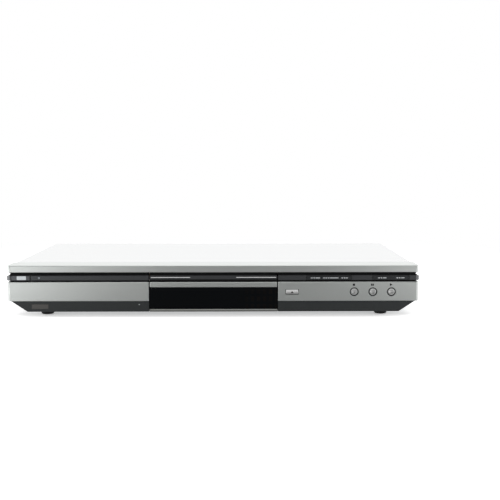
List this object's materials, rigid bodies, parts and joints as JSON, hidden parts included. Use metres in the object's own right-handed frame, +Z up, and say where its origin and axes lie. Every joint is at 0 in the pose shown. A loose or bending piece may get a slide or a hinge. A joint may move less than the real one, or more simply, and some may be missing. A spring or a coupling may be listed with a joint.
{
  "type": "disc player with tray",
  "caption": "Slim full-width disc player: silver case, dark control strip, sliding disc tray behind a black door, display window, round and strip keys.",
  "frame": {"origin": "centre of the bounding box's bottom face, on the surface that the feet stand on", "axes": "+X to the right seen from the front, +Y to the back, +Z up"},
  "size_m": [0.432, 0.2588, 0.056],
  "materials": {
    "silver_paint": "satin silver paint on steel",
    "silver_plastic": "silver lacquer on moulded ABS",
    "dark_plastic": "fine-textured moulded ABS",
    "black_gloss": "polished black acrylic",
    "black_plastic": "moulded",
    "zinc_steel": "zinc-plated sheet",
    "black_steel": "black lacquer",
    "sill_metal": "satin foil",
    "smoked_window": "smoked acrylic",
    "clear_plastic": "clear acrylic",
    "white_plastic": "acetal",
    "circuit_board": "glass-epoxy laminate",
    "brown_board": "paper laminate",
    "glass": "display glass",
    "capacitor_sleeve": "shrunk sleeve",
    "ferrite": "sintered ferrite and tape",
    "aluminium": "mill finish",
    "rubber": "moulded"
  },
  "bodies": {
    "case": {"chassis": "zinc_steel", "top_cover": "silver_paint", "rear_panel": "black_steel", "front_frame": "dark_plastic", "top_trim": "silver_plastic", "left_fascia": "silver_plastic", "right_fascia": "silver_plastic", "left_strip": "dark_plastic", "right_strip": "dark_plastic", "display_window": "black_gloss", "window_sill": "sill_metal", "sensor_window": "smoked_window", "indicator_lens": "clear_plastic", "feet": "rubber", "cover_screws": "zinc_steel", "chassis_screws": "zinc_steel", "main_board": "circuit_board", "power_board": "brown_board", "front_boards": "circuit_board", "tact_switches": "black_plastic", "display_tube": "glass", "infrared_receiver": "black_plastic", "processor_chips": "black_plastic", "transformer": "ferrite", "capacitors": "capacitor_sleeve", "heat_sink": "aluminium", "mains_inlet": "black_plastic", "scart_socket": "black_plastic", "phono_sockets": "black_plastic", "ribbon_cables": "white_plastic", "supply_harness": "white_plastic", "loader_frame": "black_plastic", "clamp_bridge": "zinc_steel", "loading_motor": "zinc_steel", "drive_belt": "rubber"},
    "tray": {"disc_tray": "dark_plastic", "tray_door": "black_gloss", "door_lip": "silver_plastic"},
    "drive_gear": {"drive_gear": "white_plastic"},
    "pulley_gear": {"pulley_gear": "white_plastic"},
    "motor_pulley": {"motor_pulley": "white_plastic"},
    "traverse": {"traverse_frame": "dark_plastic", "spindle_motor": "zinc_steel", "guide_rods": "zinc_steel", "feed_motor": "zinc_steel"},
    "cam_slider": {"cam_slider": "white_plastic"},
    "turntable": {"turntable": "black_plastic"},
    "clamper": {"clamper": "white_plastic"},
    "pickup": {"pickup": "black_plastic"},
    "feed_gear": {"feed_gear": "white_plastic"},
    "key_power": {"key_power": "dark_plastic"},
    "key_open": {"key_open": "silver_plastic"},
    "key_stop": {"key_stop": "silver_plastic"},
    "key_pause": {"key_pause": "silver_plastic"},
    "key_play": {"key_play": "silver_plastic"},
    "strip_key_1": {"strip_key_1": "dark_plastic"},
    "strip_key_2": {"strip_key_2": "dark_plastic"},
    "strip_key_3": {"strip_key_3": "dark_plastic"},
    "strip_key_4": {"strip_key_4": "dark_plastic"},
    "strip_key_5": {"strip_key_5": "dark_plastic"}
  },
  "joints": [
    {"name": "tray_slide", "type": "slide", "parent": "case", "child": "tray", "axis": [0, -1, 0], "range_m": [0, 0.154]},
    {"name": "drive_gear_spin", "type": "hinge", "parent": "case", "child": "drive_gear", "pos_m": [0.036, -0.0846, 0.03], "axis": [0, 0, 1], "range_deg": [-897.4, 0]},
    {"name": "pulley_gear_spin", "type": "hinge", "parent": "case", "child": "pulley_gear", "pos_m": [0.011, -0.0846, 0.03], "axis": [0, 0, 1], "range_deg": [0, 2283.9]},
    {"name": "motor_pulley_spin", "type": "hinge", "parent": "case", "child": "motor_pulley", "pos_m": [-0.03, -0.0846, 0.03], "axis": [0, 0, 1], "range_deg": [0, 10650.5]},
    {"name": "traverse_tip", "type": "hinge", "parent": "case", "child": "traverse", "pos_m": [0, 0.0494, 0.02475], "axis": [1, 0, 0], "range_deg": [0, 4]},
    {"name": "cam_slide", "type": "slide", "parent": "case", "child": "cam_slider", "axis": [-1, 0, 0], "range_m": [-0.0005, 0.0145]},
    {"name": "turntable_spin", "type": "hinge", "parent": "traverse", "child": "turntable", "pos_m": [0, -0.0366, 0.038], "axis": [0, 0, 1], "continuous": true},
    {"name": "clamper_spin", "type": "hinge", "parent": "case", "child": "clamper", "pos_m": [0, -0.0366, 0.048], "axis": [0, 0, 1], "continuous": true},
    {"name": "pickup_slide", "type": "slide", "parent": "traverse", "child": "pickup", "axis": [0, 1, 0], "range_m": [0, 0.035]},
    {"name": "feed_gear_spin", "type": "hinge", "parent": "traverse", "child": "feed_gear", "pos_m": [0.0406, -0.0086, 0.028], "axis": [0, 0, 1], "range_deg": [-223.9, 0]},
    {"name": "key_power_press", "type": "slide", "parent": "case", "child": "key_power", "axis": [0, 1, 0], "range_m": [0, 0.0005], "stiffness_N_per_m": 400, "springref_m": -0.0004},
    {"name": "key_open_press", "type": "slide", "parent": "case", "child": "key_open", "axis": [0, 1, 0], "range_m": [0, 0.0005], "stiffness_N_per_m": 400, "springref_m": -0.0004},
    {"name": "key_stop_press", "type": "slide", "parent": "case", "child": "key_stop", "axis": [0, 1, 0], "range_m": [0, 0.0005], "stiffness_N_per_m": 400, "springref_m": -0.0004},
    {"name": "key_pause_press", "type": "slide", "parent": "case", "child": "key_pause", "axis": [0, 1, 0], "range_m": [0, 0.0005], "stiffness_N_per_m": 400, "springref_m": -0.0004},
    {"name": "key_play_press", "type": "slide", "parent": "case", "child": "key_play", "axis": [0, 1, 0], "range_m": [0, 0.0005], "stiffness_N_per_m": 400, "springref_m": -0.0004},
    {"name": "strip_key_1_press", "type": "slide", "parent": "case", "child": "strip_key_1", "axis": [0, 1, 0], "range_m": [0, 0.0005], "stiffness_N_per_m": 400, "springref_m": -0.0004},
    {"name": "strip_key_2_press", "type": "slide", "parent": "case", "child": "strip_key_2", "axis": [0, 1, 0], "range_m": [0, 0.0005], "stiffness_N_per_m": 400, "springref_m": -0.0004},
    {"name": "strip_key_3_press", "type": "slide", "parent": "case", "child": "strip_key_3", "axis": [0, 1, 0], "range_m": [0, 0.0005], "stiffness_N_per_m": 400, "springref_m": -0.0004},
    {"name": "strip_key_4_press", "type": "slide", "parent": "case", "child": "strip_key_4", "axis": [0, 1, 0], "range_m": [0, 0.0005], "stiffness_N_per_m": 400, "springref_m": -0.0004},
    {"name": "strip_key_5_press", "type": "slide", "parent": "case", "child": "strip_key_5", "axis": [0, 1, 0], "range_m": [0, 0.0005], "stiffness_N_per_m": 400, "springref_m": -0.0004}
  ],
  "couplings": [
    {"joint": "drive_gear_spin", "follows": "tray_slide", "rad_per_m": -100},
    {"joint": "pulley_gear_spin", "follows": "tray_slide", "rad_per_m": 257.14},
    {"joint": "motor_pulley_spin", "follows": "tray_slide", "rad_per_m": 1205.4},
    {"joint": "cam_slide", "follows": "traverse_tip", "m_per_rad": 0.20054},
    {"joint": "clamper_spin", "follows": "turntable_spin", "ratio": 1},
    {"joint": "feed_gear_spin", "follows": "pickup_slide", "rad_per_m": -104.17}
  ]
}
